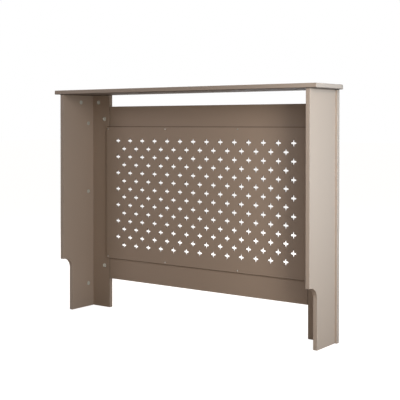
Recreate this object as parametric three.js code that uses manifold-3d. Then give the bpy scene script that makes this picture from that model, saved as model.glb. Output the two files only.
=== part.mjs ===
// Radiator cover cabinet: painted boards held together by cam locks, with a perforated panel in front.
// Millimetres. +Z is up, the front faces -Y, the wall is on the +Y side and the floor is Z = 0.
// The origin is on the floor, in the middle of the top shelf's length and depth.
import * as THREE from 'three';
import { mergeVertices } from 'three/addons/utils/BufferGeometryUtils.js';
import Module from 'manifold-3d';

const wasm = await Module();
wasm.setup();

// ---- driving dimensions: boards -------------------------------------------------------------

const boardThickness = 15;
const coverHeight = 831;
const shelfLength = 1120;
const shelfDepth = 190;
const shelfCornerRadius = 22;      // the two front corners, seen from above
const bodyDepth = 180;             // front of the posts to the rear edge of the side panels
const sideSpan = 1070;             // over the outer faces of the side panels
const postStep = 7;                // how far each post stands out past its side panel
const postWidth = 107;
const railHeight = 95;
const airSlotHeight = 44;          // between the shelf and the top rail
const floorGapHeight = 112;        // between the floor and the bottom rail
const skirtingDepth = 48;          // cut-out in each side panel that clears the skirting board
const skirtingHeight = 198;
const skirtingCornerRadius = 38;

// ---- driving dimensions: perforated panel ---------------------------------------------------

const panelThickness = 5;
const panelLength = 894;
const panelHeight = 502;
const panelBottom = 192;
const crossRows = 14;              // rows of 14 and 13 crosses, taking turns
const crossesInLongRow = 14;
const crossPitch = 59.35;          // between neighbours in a row
const crossRowPitch = 30.45;
const topRowHeight = 641.8;
const patternShift = 3.5;          // the pattern sits this far off the panel's middle
const crossReach = 11.2;           // centre to the end of an arm
const crossTipHalfWidth = 1.9;
const crossNotch = 3.7;            // the inner corners are this far from both centre lines

// ---- driving dimensions: fittings -----------------------------------------------------------

const camRadius = 7.4;
const camHeight = 11.9;
const camPocketRadius = 8.0;
const camPocketDepth = 12.2;
const camSides = 12;
const camSetback = 28;             // cam axis to the joint between the two boards
const camTrackInner = 5.65;        // the track's radius where the bolt head is locked
const camTrackOuter = 6.1;         // and where the head goes in
const camTrackSteps = 6;
const camTrackSpan = 210;          // degrees
const camTrackStart = 120;         // degrees from the cam's x axis
const camTrackTop = -3.9;          // below the board's face
const camTrackBottom = -11.1;
const camTrackBack = [[-3.6, -2.4], [-3.8, 0], [-3.6, 2.4]];   // the track's wall behind the head
const neckSlotTop = -5.4;
const neckSlotBottom = -9.6;
const neckClearance = 2.1;         // half the width that the bolt's neck needs
const headClearance = 3.6;         // half the width that the bolt's head needs
const driveSlot = [8, 1.5, 2];     // length, width and depth of the screwdriver slot
const boltSides = 6;
const boltHeadRadius = 3.0;
const boltNeckRadius = 1.8;
const boltShankRadius = 2.8;
const boltHeadNose = -0.6;         // along the bolt, from the cam's axis: the tip of its head,
const boltHeadStart = 1.0;         // where the head reaches its full radius,
const boltHeadEnd = 3.2;           // where it starts to narrow,
const boltNeckStart = 4.9;
const boltNeckEnd = 9.0;
const boltShankStart = 9.8;
const boltTipLength = 2;
const boltInMate = 11;             // the length of a bolt that is screwed into the mating board
const boltBoreRadius = 3.3;
const boltPilotRadius = 3.2;
const boltPilotDepth = 11.5;
const dowelRadius = 4;
const dowelLength = 30;
const dowelHoleRadius = 4.35;
const dowelHoleSlack = 0.4;        // at each end of a dowel
const dowelInMate = 11;            // the length of a dowel that goes into the mating board
const dowelSides = 6;
const screwHeadRadius = 3;
const screwRimRadius = 2.4;        // the head's upper edge
const screwRimHeight = 1.3;
const screwHeadHeight = 1.6;
const screwShankRadius = 1.5;
const screwTipLength = 1.5;
const screwReach = 13;             // under the head
const screwHoleRadius = 2;
const screwHoleSlack = 0.5;        // below the screw's tip
const screwSides = 6;
const screwEdge = 7;               // screw axes to the panel's edge
const screwInnerColumn = 160;      // the inner screws are this far to each side of the middle

// ---- places worked out from them ------------------------------------------------------------

const shelfUnderside = coverHeight - boardThickness;
const frontFace = -bodyDepth / 2;
const frameRearFace = frontFace + boardThickness;
const rearEdge = bodyDepth / 2;
const sideOuter = sideSpan / 2;
const sideInner = sideOuter - boardThickness;
const postOuter = sideOuter + postStep;
const postInner = postOuter - postWidth;
const topRailTop = shelfUnderside - airSlotHeight;
const topRailMiddle = topRailTop - railHeight / 2;
const bottomRailMiddle = floorGapHeight + railHeight / 2;
const panelTop = panelBottom + panelHeight;
const panelRearFace = frameRearFace + panelThickness;
const camShelfHeight = shelfUnderside - camSetback;
const camSideDepth = -7;           // the side panel's upper cam, a little in front of its middle
const camPostColumn = 494;         // the post's upper cam
const camHeights = { high: 708, middle: 445, low: 89 };
const dowelSpacing = 32;

// ---- finishes -------------------------------------------------------------------------------

const paint = () => new THREE.MeshStandardMaterial({ color: 0xc3b8ac, roughness: 0.55, metalness: 0 });
const zinc = () => new THREE.MeshStandardMaterial({ color: 0xa9aba4, roughness: 0.4, metalness: 0.9 });
const steel = () => new THREE.MeshStandardMaterial({ color: 0xc9c8c2, roughness: 0.35, metalness: 0.9 });
const beech = () => new THREE.MeshStandardMaterial({ color: 0xd2b07c, roughness: 0.75, metalness: 0 });

// ---- solids ---------------------------------------------------------------------------------

// A closed triangle mesh with shared corners, and without the flat triangles at a lathe's poles.
function weld(geometry) {
  const bare = geometry.clone();
  bare.deleteAttribute('normal');
  bare.deleteAttribute('uv');
  const merged = mergeVertices(bare, 1e-4);
  const corners = merged.index.array;
  const kept = [];
  for (let i = 0; i < corners.length; i += 3) {
    const [a, b, c] = [corners[i], corners[i + 1], corners[i + 2]];
    if (a !== b && b !== c && c !== a) kept.push(a, b, c);
  }
  merged.setIndex(kept);
  return merged;
}

function toSolid(geometry) {
  const merged = weld(geometry);
  const vertProperties = new Float32Array(merged.attributes.position.array);
  const triVerts = new Uint32Array(merged.index.array);
  return new wasm.Manifold(new wasm.Mesh({ numProp: 3, vertProperties, triVerts }));
}

function toGeometry(solid) {
  const mesh = solid.getMesh();
  const geometry = new THREE.BufferGeometry();
  geometry.setAttribute('position', new THREE.BufferAttribute(mesh.vertProperties, 3));
  geometry.setIndex(new THREE.BufferAttribute(mesh.triVerts, 1));
  return geometry;
}

// Cuts a list of geometries out of one geometry.
function cut(geometry, cutters) {
  let solid = toSolid(geometry);
  for (const cutter of cutters) {
    solid = solid.subtract(toSolid(cutter));
  }
  return toGeometry(solid);
}

// A round bar from z = low to z = high, with its flats alike for a bar and the hole round it.
function barAlongZ(radius, low, high, sides) {
  const bar = new THREE.CylinderGeometry(radius, radius, high - low, sides);
  bar.rotateX(Math.PI / 2);
  bar.translate(0, 0, (low + high) / 2);
  return bar;
}

function barAlongY(radius, low, high, sides) {
  const bar = new THREE.CylinderGeometry(radius, radius, high - low, sides);
  bar.translate(0, (low + high) / 2, 0);
  return bar;
}

function block(low, high) {
  const size = high.map((value, axis) => value - low[axis]);
  const box = new THREE.BoxGeometry(...size);
  box.translate(...low.map((value, axis) => value + size[axis] / 2));
  return box;
}

// Gives a geometry that was made in place an origin of its own, in the middle of its box.
function meshInPlace(name, geometry, material) {
  geometry.computeBoundingBox();
  const middle = geometry.boundingBox.getCenter(new THREE.Vector3());
  geometry.translate(-middle.x, -middle.y, -middle.z);
  const mesh = new THREE.Mesh(geometry, material);
  mesh.name = name;
  mesh.position.copy(middle);
  return mesh;
}

// ---- joints between boards ------------------------------------------------------------------

// Each joint is a frame of its own on the home board: its origin is where the cam's axis meets the
// board's face, z points out of that face, and y points to the mating board.
function jointFrame(point, faceNormal, boltDirection) {
  const z = new THREE.Vector3(...faceNormal);
  const y = new THREE.Vector3(...boltDirection);
  const x = new THREE.Vector3().crossVectors(y, z);
  return new THREE.Matrix4().makeBasis(x, y, z).setPosition(...point);
}

function listJoints(sideName, sign) {
  const inwards = [-sign, 0, 0];
  const sideHome = `side_panel_${sideName}`;
  const postHome = `front_post_${sideName}`;
  const joints = [];
  joints.push({
    name: `${sideName}_side_to_shelf`, home: sideHome, mate: 'top_shelf',
    frame: jointFrame([sign * sideInner, camSideDepth, camShelfHeight], inwards, [0, 0, 1]),
    dowels: [{ name: '', shift: [0, 1.5 * dowelSpacing, 0] }],
  });
  const upperGap = (camHeights.high - camHeights.middle) / 2;
  const lowerGap = (camHeights.middle - camHeights.low) / 2;
  for (const [place, height] of Object.entries(camHeights)) {
    const isMiddle = place === 'middle';
    joints.push({
      name: `${sideName}_side_to_post_${place}`, home: sideHome, mate: postHome,
      frame: jointFrame([sign * sideInner, frameRearFace + camSetback, height], inwards, [0, -1, 0]),
      dowels: isMiddle
        ? [{ name: '_above', shift: [0, 0, upperGap] }, { name: '_below', shift: [0, 0, -lowerGap] }]
        : [],
    });
  }
  joints.push({
    name: `${sideName}_post_to_shelf`, home: postHome, mate: 'top_shelf',
    frame: jointFrame([sign * camPostColumn, frameRearFace, camShelfHeight], [0, 1, 0], [0, 0, 1]),
    dowels: [{ name: '', shift: [-sign * dowelSpacing, 0, 0] }],
  });
  const rails = { top_rail: [topRailMiddle, dowelSpacing], bottom_rail: [bottomRailMiddle, -dowelSpacing] };
  for (const [rail, [height, shift]] of Object.entries(rails)) {
    const point = [sign * (postInner + camSetback), frameRearFace, height];
    joints.push({
      name: `${sideName}_post_to_${rail}`, home: postHome, mate: rail,
      frame: jointFrame(point, [0, 1, 0], inwards),
      dowels: [{ name: '', shift: [0, 0, shift] }],
    });
  }
  return joints;
}

const joints = [...listJoints('left', -1), ...listJoints('right', 1)];

// The frame of a dowel: the joint's own frame, moved along the joint line.
function dowelFrame(joint, dowel) {
  const shift = new THREE.Matrix4().makeTranslation(...dowel.shift);
  return shift.multiply(joint.frame.clone());
}

const boltDepth = -boardThickness / 2;

// What a joint takes out of its home board: the cam's pocket, the bolt's bore and the dowel holes.
function homeCutters(joint) {
  const pocket = barAlongZ(camPocketRadius, -camPocketDepth, 1, camSides);
  const bore = barAlongY(boltBoreRadius, 0, camSetback + 1, boltSides).translate(0, 0, boltDepth);
  const cutters = [pocket.applyMatrix4(joint.frame), bore.applyMatrix4(joint.frame)];
  const holeStart = camSetback - (dowelLength - dowelInMate) - dowelHoleSlack;
  for (const dowel of joint.dowels) {
    const hole = barAlongY(dowelHoleRadius, holeStart, camSetback + 1, dowelSides);
    cutters.push(hole.translate(0, 0, boltDepth).applyMatrix4(dowelFrame(joint, dowel)));
  }
  return cutters;
}

// What it takes out of the mating board: the bolt's pilot hole and the dowel holes.
function mateCutters(joint) {
  const pilot = barAlongY(boltPilotRadius, camSetback - 1, camSetback + boltPilotDepth, boltSides);
  const cutters = [pilot.translate(0, 0, boltDepth).applyMatrix4(joint.frame)];
  const holeEnd = camSetback + dowelInMate + dowelHoleSlack;
  for (const dowel of joint.dowels) {
    const hole = barAlongY(dowelHoleRadius, camSetback - 1, holeEnd, dowelSides);
    cutters.push(hole.translate(0, 0, boltDepth).applyMatrix4(dowelFrame(joint, dowel)));
  }
  return cutters;
}

// ---- panel screws ---------------------------------------------------------------------------

function listScrews() {
  const rows = { top: panelTop - screwEdge, bottom: panelBottom + screwEdge };
  const outerColumn = panelLength / 2 - screwEdge;
  const columns = {
    left_outer: -outerColumn, left_inner: -screwInnerColumn,
    right_inner: screwInnerColumn, right_outer: outerColumn,
  };
  const screws = [];
  for (const [rowName, height] of Object.entries(rows)) {
    const rail = `${rowName}_rail`;
    const boards = {
      left_outer: 'front_post_left', left_inner: rail, right_inner: rail, right_outer: 'front_post_right',
    };
    for (const [columnName, across] of Object.entries(columns)) {
      const point = [across, panelRearFace, height];
      screws.push({ name: `panel_screw_${rowName}_${columnName}`, point, board: boards[columnName] });
    }
  }
  return screws;
}

const screws = listScrews();

function screwHole(screw) {
  const [x, y, z] = screw.point;
  return barAlongY(screwHoleRadius, -screwReach - screwHoleSlack, 1, screwSides).translate(x, y, z);
}

// Everything that is drilled into one board.
function drillings(boardName) {
  const cutters = [];
  for (const joint of joints) {
    if (joint.home === boardName) cutters.push(...homeCutters(joint));
    if (joint.mate === boardName) cutters.push(...mateCutters(joint));
  }
  for (const screw of screws) {
    if (screw.board === boardName) cutters.push(screwHole(screw));
  }
  return cutters;
}

// ---- boards ---------------------------------------------------------------------------------

// The top shelf: a plain board with its two front corners rounded.
function buildShelf() {
  const halfLength = shelfLength / 2;
  const halfDepth = shelfDepth / 2;
  const arcLength = halfLength - shelfCornerRadius;
  const arcDepth = halfDepth - shelfCornerRadius;
  const outline = new THREE.Shape();
  outline.moveTo(halfLength, halfDepth);
  outline.lineTo(-halfLength, halfDepth);
  outline.absarc(-arcLength, -arcDepth, shelfCornerRadius, Math.PI, 1.5 * Math.PI);
  outline.absarc(arcLength, -arcDepth, shelfCornerRadius, 1.5 * Math.PI, 2 * Math.PI);
  const options = { depth: boardThickness, bevelEnabled: false, curveSegments: 4 };
  const board = new THREE.ExtrudeGeometry(outline, options);
  board.translate(0, 0, shelfUnderside);
  return cut(board, drillings('top_shelf'));
}

// A side panel, drawn as seen from its end, with the skirting cut-out at its lower rear corner.
function buildSidePanel(name, sign) {
  const notchFront = rearEdge - skirtingDepth;
  const arcMiddleHeight = skirtingHeight - skirtingCornerRadius;
  const outline = new THREE.Shape();
  outline.moveTo(frameRearFace, 0);
  outline.lineTo(notchFront, 0);
  outline.absarc(notchFront + skirtingCornerRadius, arcMiddleHeight, skirtingCornerRadius,
    Math.PI, Math.PI / 2, true);
  outline.lineTo(rearEdge, skirtingHeight);
  outline.lineTo(rearEdge, shelfUnderside);
  outline.lineTo(frameRearFace, shelfUnderside);
  const options = { depth: boardThickness, bevelEnabled: false, curveSegments: 6 };
  const board = new THREE.ExtrudeGeometry(outline, options);
  const upright = new THREE.Matrix4().makeBasis(
    new THREE.Vector3(0, 1, 0), new THREE.Vector3(0, 0, 1), new THREE.Vector3(1, 0, 0));
  board.applyMatrix4(upright);
  board.translate(sign > 0 ? sideInner : -sideOuter, 0, 0);
  return cut(board, drillings(name));
}

function buildPost(name, sign) {
  const edges = [sign * postInner, sign * postOuter].sort((a, b) => a - b);
  const board = block([edges[0], frontFace, 0], [edges[1], frameRearFace, shelfUnderside]);
  return cut(board, drillings(name));
}

function buildRail(name, middleHeight) {
  const low = middleHeight - railHeight / 2;
  const board = block([-postInner, frontFace, low], [postInner, frameRearFace, low + railHeight]);
  return cut(board, drillings(name));
}

// ---- perforated panel -----------------------------------------------------------------------

// A cross whose four arms narrow towards their ends. Its notches lie between the arms.
function crossPath(x, z) {
  const path = new THREE.Path();
  const quarter = [
    [crossReach, -crossTipHalfWidth], [crossReach, crossTipHalfWidth], [crossNotch, crossNotch],
  ];
  const corners = [];
  for (let turn = 0; turn < 4; turn += 1) {
    const cosine = Math.round(Math.cos(turn * Math.PI / 2));
    const sine = Math.round(Math.sin(turn * Math.PI / 2));
    for (const [u, v] of quarter) {
      corners.push(new THREE.Vector2(x + u * cosine - v * sine, z + u * sine + v * cosine));
    }
  }
  path.setFromPoints(corners);
  path.closePath();
  return path;
}

function screwHolePath(x, z) {
  const path = new THREE.Path();
  path.absarc(x, z, screwHoleRadius, 0, 2 * Math.PI);
  return path;
}

// The outline is drawn in x and z, and the extrusion runs towards the front.
function buildPanel() {
  const half = panelLength / 2;
  const outline = new THREE.Shape();
  outline.moveTo(-half, panelBottom);
  outline.lineTo(half, panelBottom);
  outline.lineTo(half, panelTop);
  outline.lineTo(-half, panelTop);
  for (let row = 0; row < crossRows; row += 1) {
    const count = crossesInLongRow - (row % 2);
    const first = patternShift - crossPitch * (count - 1) / 2;
    for (let column = 0; column < count; column += 1) {
      const height = topRowHeight - row * crossRowPitch;
      outline.holes.push(crossPath(first + column * crossPitch, height));
    }
  }
  for (const screw of screws) {
    outline.holes.push(screwHolePath(screw.point[0], screw.point[2]));
  }
  const options = { depth: panelThickness, bevelEnabled: false, curveSegments: screwSides / 2 };
  const panel = new THREE.ExtrudeGeometry(outline, options);
  panel.rotateX(Math.PI / 2);
  panel.translate(0, panelRearFace, 0);
  return weld(panel);
}

// ---- fittings -------------------------------------------------------------------------------

// The hollow of a cam, seen from its face: a spiral track that draws the bolt's head in.
function camTrack() {
  const outline = new THREE.Shape();
  const corners = [];
  for (let step = 0; step <= camTrackSteps; step += 1) {
    const share = step / camTrackSteps;
    const angle = THREE.MathUtils.degToRad(camTrackStart - camTrackSpan * share);
    const radius = camTrackInner + (camTrackOuter - camTrackInner) * share;
    corners.push(new THREE.Vector2(radius * Math.cos(angle), radius * Math.sin(angle)));
  }
  for (const corner of camTrackBack) {
    corners.push(new THREE.Vector2(...corner));
  }
  outline.setFromPoints(corners);
  const depth = camTrackTop - camTrackBottom;
  const hollow = new THREE.ExtrudeGeometry(outline, { depth, bevelEnabled: false });
  return hollow.translate(0, 0, camTrackBottom);
}

// A cam lock: a disc with a hollow for the bolt's head, a slot for its neck over half a turn, an
// opening where the head goes in, and a slot for the screwdriver in its face.
function buildCam() {
  const far = camPocketRadius + 2;
  const disc = barAlongZ(camRadius, -camHeight, 0, camSides);
  const neckSlot = block([-neckClearance, -far, neckSlotBottom], [far, far, neckSlotTop]);
  const mouth = block([-headClearance, -far, camTrackBottom], [headClearance, -1, camTrackTop]);
  const [length, width, depth] = driveSlot;
  const drive = block([-length / 2, -width / 2, -depth], [length / 2, width / 2, 1]);
  return cut(disc, [camTrack(), neckSlot, mouth, drive]);
}

// A cam bolt along y, from its ball head at the cam's axis to the tip of its thread.
function buildBolt() {
  const profile = [
    [0, boltHeadNose], [boltHeadRadius, boltHeadStart], [boltHeadRadius, boltHeadEnd],
    [boltNeckRadius, boltNeckStart], [boltNeckRadius, boltNeckEnd], [boltShankRadius, boltShankStart],
    [boltShankRadius, camSetback + boltInMate - boltTipLength], [0, camSetback + boltInMate],
  ];
  const points = profile.map(([radius, along]) => new THREE.Vector2(radius, along));
  return weld(new THREE.LatheGeometry(points, boltSides));
}

function buildDowel() {
  const end = camSetback + dowelInMate;
  return barAlongY(dowelRadius, end - dowelLength, end, dowelSides);
}

// A panel screw along y, with its head on the panel's rear face at y = 0.
function buildScrew() {
  const profile = [
    [0, -screwReach], [screwShankRadius, -screwReach + screwTipLength], [screwShankRadius, 0],
    [screwHeadRadius, 0], [screwRimRadius, screwRimHeight], [0, screwHeadHeight],
  ];
  const points = profile.map(([radius, along]) => new THREE.Vector2(radius, along));
  return weld(new THREE.LatheGeometry(points, screwSides));
}

// ---- the cabinet ----------------------------------------------------------------------------

const group = new THREE.Group();
group.add(meshInPlace('top_shelf', buildShelf(), paint()));
group.add(meshInPlace('side_panel_left', buildSidePanel('side_panel_left', -1), paint()));
group.add(meshInPlace('side_panel_right', buildSidePanel('side_panel_right', 1), paint()));
group.add(meshInPlace('front_post_left', buildPost('front_post_left', -1), paint()));
group.add(meshInPlace('front_post_right', buildPost('front_post_right', 1), paint()));
group.add(meshInPlace('top_rail', buildRail('top_rail', topRailMiddle), paint()));
group.add(meshInPlace('bottom_rail', buildRail('bottom_rail', bottomRailMiddle), paint()));
group.add(meshInPlace('grille_panel', buildPanel(), paint()));

// Each joint is a group, turned and placed once, that holds its cam and its bolt.
for (const joint of joints) {
  const fitting = new THREE.Group();
  joint.frame.decompose(fitting.position, fitting.quaternion, fitting.scale);
  const cam = new THREE.Mesh(buildCam(), zinc());
  cam.name = `cam_${joint.name}`;
  fitting.add(cam);
  const bolt = new THREE.Mesh(buildBolt(), steel());
  bolt.name = `bolt_${joint.name}`;
  bolt.position.z = boltDepth;
  fitting.add(bolt);
  group.add(fitting);
  for (const dowel of joint.dowels) {
    const place = new THREE.Group();
    dowelFrame(joint, dowel).decompose(place.position, place.quaternion, place.scale);
    const peg = new THREE.Mesh(buildDowel(), beech());
    peg.name = `dowel_${joint.name}${dowel.name}`;
    peg.position.z = boltDepth;
    place.add(peg);
    group.add(place);
  }
}

for (const screw of screws) {
  const mesh = new THREE.Mesh(buildScrew(), steel());
  mesh.name = screw.name;
  mesh.position.set(...screw.point);
  group.add(mesh);
}

export default group;
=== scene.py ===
"""A radiator cover cabinet: painted boards, a perforated panel, and the fittings that hold them.

Everything is drawn in millimetres, in the cabinet's own frame: the front faces -Y, the wall is on
the +Y side and the floor is Z = 0. A finished piece is scaled to metres once, in its mesh. Only the
studio, its lamps and its camera are in metres from the start.
"""

import math

import bmesh
import bpy
from mathutils import Matrix, Vector


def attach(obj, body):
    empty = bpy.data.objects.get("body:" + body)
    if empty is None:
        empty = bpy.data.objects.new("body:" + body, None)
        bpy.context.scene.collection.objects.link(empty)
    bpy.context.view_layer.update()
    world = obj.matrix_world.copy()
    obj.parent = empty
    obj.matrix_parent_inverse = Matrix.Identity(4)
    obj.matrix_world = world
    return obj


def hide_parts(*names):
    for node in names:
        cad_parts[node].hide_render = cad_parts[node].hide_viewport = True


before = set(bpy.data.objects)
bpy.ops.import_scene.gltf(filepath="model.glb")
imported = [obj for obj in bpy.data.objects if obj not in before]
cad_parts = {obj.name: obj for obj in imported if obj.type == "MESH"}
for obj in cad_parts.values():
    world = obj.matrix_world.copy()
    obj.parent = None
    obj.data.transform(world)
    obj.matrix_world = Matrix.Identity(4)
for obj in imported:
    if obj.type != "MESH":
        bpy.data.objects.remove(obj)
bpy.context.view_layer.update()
scene = bpy.context.scene

MM = 0.001
METRES = Matrix.Scale(MM, 4)
CABINET = "cabinet"
Y_AXIS, Z_AXIS = Vector((0, 1, 0)), Vector((0, 0, 1))
ALONG_Y = Matrix.Rotation(-math.pi / 2, 4, "X")
BEVEL_ANGLE, SMOOTH_ANGLE = math.radians(30), math.radians(35)
LARGE_FACE_COSINE = 0.9

# ---- boards, in millimetres ------------------------------------------------------------------

BOARD = 15.0
COVER_HEIGHT = 831.0
SHELF_LENGTH, SHELF_DEPTH = 1120.0, 190.0
SHELF_CORNER = 22.0
SIDE_OUTER = 535.0
REAR_EDGE = 90.0
FRAME_FRONT = -90.0
FRAME_REAR = FRAME_FRONT + BOARD
POST_OUTER, POST_INNER = 542.0, 435.0
SHELF_UNDERSIDE = COVER_HEIGHT - BOARD
SIDE_INNER = SIDE_OUTER - BOARD
TOP_RAIL = (677.0, 772.0)
BOTTOM_RAIL = (112.0, 207.0)
SKIRTING_DEPTH, SKIRTING_HEIGHT, SKIRTING_CORNER = 48.0, 198.0, 38.0
EDGE_ROUNDING = 1.4
EDGE_SEGMENTS = 3
ARC_STEPS = 24
# The width of the painted shade lines at the seams, and how far in front of the frame's rear face they still
# reach.
PAINTED_SHADE_WIDTH, PAINTED_SHADE_TOLERANCE = 2.0, 0.5

# ---- perforated panel ------------------------------------------------------------------------

PANEL_THICKNESS = 5.0
PANEL_LENGTH, PANEL_HEIGHT, PANEL_BOTTOM = 894.0, 502.0, 192.0
PANEL_REAR = FRAME_REAR + PANEL_THICKNESS
CROSS_ROWS, LONG_ROW = 14, 14
CROSS_PITCH, CROSS_ROW_PITCH = 59.35, 30.45
TOP_ROW_HEIGHT, PATTERN_SHIFT = 641.8, 3.5
CROSS_REACH, CROSS_TIP, CROSS_NOTCH = 11.0, 1.87, 3.6
CROSS_CORNERS, CROSS_SOFTNESS = 12, 0.45
WELD_DISTANCE = 0.001
PANEL_EDGE_ROUNDING = 0.6
PANEL_EDGE_SEGMENTS = 2

# ---- fittings --------------------------------------------------------------------------------

CAM_SETBACK = 28.0
CAM_HEIGHTS = {"high": 708.0, "middle": 445.0, "low": 89.0}
SIDE_CAM_SETBACK, POST_CAM_ACROSS = -7.0, 494.0
FITTING_DEPTH = -BOARD / 2

CAM_RADIUS, CAM_HEIGHT, CAM_SIDES = 7.4, 11.9, 64
CAM_OUTSIDE = 10.0
TRACK_RADIUS, TRACK_SPREAD, TRACK_HALF_HEIGHT = 5.65, 0.45, 3.6
TRACK_START, TRACK_SWEEP, TRACK_STEPS = 120, 210, 28
NECK_HALF_WIDTH, MOUTH_HALF_WIDTH = 2.1, 3.6
POCKET_RADIUS, POCKET_DEPTH, POCKET_CHAMFER, POCKET_SIDES = 8.0, 12.2, 0.35, 48

BOLT_IN_MATE, BORE_RADIUS, PILOT_RADIUS, PILOT_DEPTH = 11.0, 3.3, 3.2, 11.5
BOLT_THREAD_PITCH, BOLT_THREAD_DEPTH = 2.2, 0.7
SHANK_SIDES = 24

DOWEL_RADIUS, DOWEL_LENGTH, DOWEL_IN_MATE, DOWEL_SIDES = 4.0, 30.0, 11.0, 96
DOWEL_END_RADIUS, DOWEL_TAPER = 3.0, 1.4
FLUTES, FLUTE_DEPTH = 16, 0.25
DOWEL_HOLE_RADIUS, DOWEL_HOLE_SLACK = 4.35, 0.4
DOWEL_SPACING = 32.0

SCREW_EDGE, SCREW_INNER_COLUMN, SCREW_REACH = 7.0, 160.0, 13.0
SCREW_THREAD_PITCH, SCREW_THREAD_DEPTH = 1.3, 0.42
SCREW_HOLE_RADIUS, SCREW_HOLE_SLACK, SCREW_HOLE_SIDES = 2.0, 0.5, 16
FIRST_SCREW_TURN, SCREW_TURN_STEP = 0.3, 0.7

HOLE_SIDES = 24
OVERLAP = 1.0  # how far a cutter stands out of what it cuts


# ---- mesh building ---------------------------------------------------------------------------

def closed_loop_faces(bm, rings):
    """Joins rings of vertices, one to the next, with quads, or with triangles where a ring is one point."""
    for low, high in zip(rings, rings[1:]):
        count = max(len(low), len(high))
        for i in range(count):
            j = (i + 1) % count
            corners = [low[i % len(low)], low[j % len(low)], high[j % len(high)], high[i % len(high)]]
            unique = list(dict.fromkeys(corners))
            if len(unique) > 2:
                bm.faces.new(unique)


def prism(outline, lift):
    """A closed prism: an outline of points, and the same outline moved by lift."""
    bm = bmesh.new()
    low = [bm.verts.new(point) for point in outline]
    high = [bm.verts.new(Vector(point) + Vector(lift)) for point in outline]
    bm.faces.new(low)
    bm.faces.new(high)
    closed_loop_faces(bm, [low, high])
    bmesh.ops.recalc_face_normals(bm, faces=bm.faces)
    return bm


def box(low, high):
    """A closed box between two opposite corners."""
    (x0, y0, z0), (x1, y1, z1) = low, high
    return prism([(x0, y0, z0), (x1, y0, z0), (x1, y1, z0), (x0, y1, z0)], (0, 0, z1 - z0))


def turned(profile, segments, shape=None):
    """A closed solid of revolution about z, from (radius, height) pairs. A radius of 0 is a pole.
    shape(radius, angle, height) may give each point a radius of its own."""
    bm = bmesh.new()
    rings = []
    for radius, height in profile:
        if radius == 0:
            rings.append([bm.verts.new((0, 0, height))])
            continue
        ring = []
        for i in range(segments):
            angle = 2 * math.pi * i / segments
            reach = shape(radius, angle, height) if shape else radius
            ring.append(bm.verts.new((reach * math.cos(angle), reach * math.sin(angle), height)))
        rings.append(ring)
    closed_loop_faces(bm, rings)
    bmesh.ops.recalc_face_normals(bm, faces=bm.faces)
    return bm


def along_y(bm):
    """Turns a solid that was made along z so that it runs along y."""
    bm.transform(ALONG_Y)
    return bm


def moved(bm, *matrices):
    """A solid, moved by one matrix after another."""
    for matrix in matrices:
        bm.transform(matrix)
    return bm


def shift(x=0, y=0, z=0):
    return Matrix.Translation((x, y, z))


def gathered(parts):
    """One mesh that holds the faces of several."""
    mesh = bpy.data.meshes.new("gathered")
    whole = bmesh.new()
    for part in parts:
        part.to_mesh(mesh)
        part.free()
        whole.from_mesh(mesh)
    whole.to_mesh(mesh)
    whole.free()
    return mesh


def to_mesh(bm, name="drawn"):
    mesh = bpy.data.meshes.new(name)
    bm.to_mesh(mesh)
    bm.free()
    return mesh


def linked(mesh, name="drawn"):
    made = bpy.data.objects.new(name, mesh)
    scene.collection.objects.link(made)
    return made


def settled(made):
    """The plain mesh that an object's modifiers give. The object is removed."""
    graph = bpy.context.evaluated_depsgraph_get()
    mesh = bpy.data.meshes.new_from_object(made.evaluated_get(graph), depsgraph=graph)
    bpy.data.objects.remove(made)
    return mesh


def cut_out(made, cutter, name):
    """Cuts a mesh out of an object, after its other modifiers, and gives the plain mesh that is left."""
    tool = linked(cutter, name)
    cut = made.modifiers.new(name, "BOOLEAN")
    cut.object = tool
    cut.operation = "DIFFERENCE"
    cut.solver = "EXACT"
    cut.use_self = True
    result = settled(made)
    bpy.data.objects.remove(tool)
    return result


def rounded(mesh, width, segments, cutter=None):
    """Rounds a mesh's sharp edges, and then cuts the drillings out of it."""
    made = linked(mesh)
    bevel = made.modifiers.new("rounding", "BEVEL")
    bevel.width = width
    bevel.segments = segments
    bevel.limit_method = "ANGLE"
    bevel.angle_limit = BEVEL_ANGLE
    return settled(made) if cutter is None else cut_out(made, cutter, "drillings")


def mark_cut_edges(mesh, across):
    """Marks the faces that don't lie along the board's two large faces: sawn edges and drilled walls."""
    mark = mesh.attributes.new("cut_edge", "FLOAT", "FACE")
    for polygon in mesh.polygons:
        lies_along = abs(polygon.normal.dot(across)) > LARGE_FACE_COSINE
        mark.data[polygon.index].value = 0.0 if lies_along else 1.0


def piece(name, mesh, material, body, nodes):
    """Makes a finished piece, in metres, that rides on a body and stands for some CAD nodes."""
    mesh.shade_smooth()
    mesh.set_sharp_from_angle(angle=SMOOTH_ANGLE)
    draft = linked(mesh)
    flatten = draft.modifiers.new("flat_faces_stay_flat", "WEIGHTED_NORMAL")
    flatten.mode = "FACE_AREA"
    flatten.keep_sharp = True
    mesh = settled(draft)
    mesh.transform(METRES)
    mesh.materials.clear()
    mesh.materials.append(material)
    mesh.name = name
    made = linked(mesh, name)
    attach(made, body)
    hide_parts(*nodes)
    return made


# ---- joints between boards -------------------------------------------------------------------

class Joint:
    """A cam lock joint. Its own frame sits where the cam's axis meets the home board's face: z points
    out of that face, and y points to the mating board."""

    def __init__(self, name, home, mate, point, face_normal, bolt_direction, dowels):
        self.name, self.home, self.mate, self.dowels = name, home, mate, dowels
        z, y = Vector(face_normal), Vector(bolt_direction)
        self.frame = Matrix((y.cross(z), y, z)).transposed().to_4x4()
        self.frame.translation = point

    def dowel_frames(self):
        return [Matrix.Translation(offset) @ self.frame for offset in self.dowels]


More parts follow.
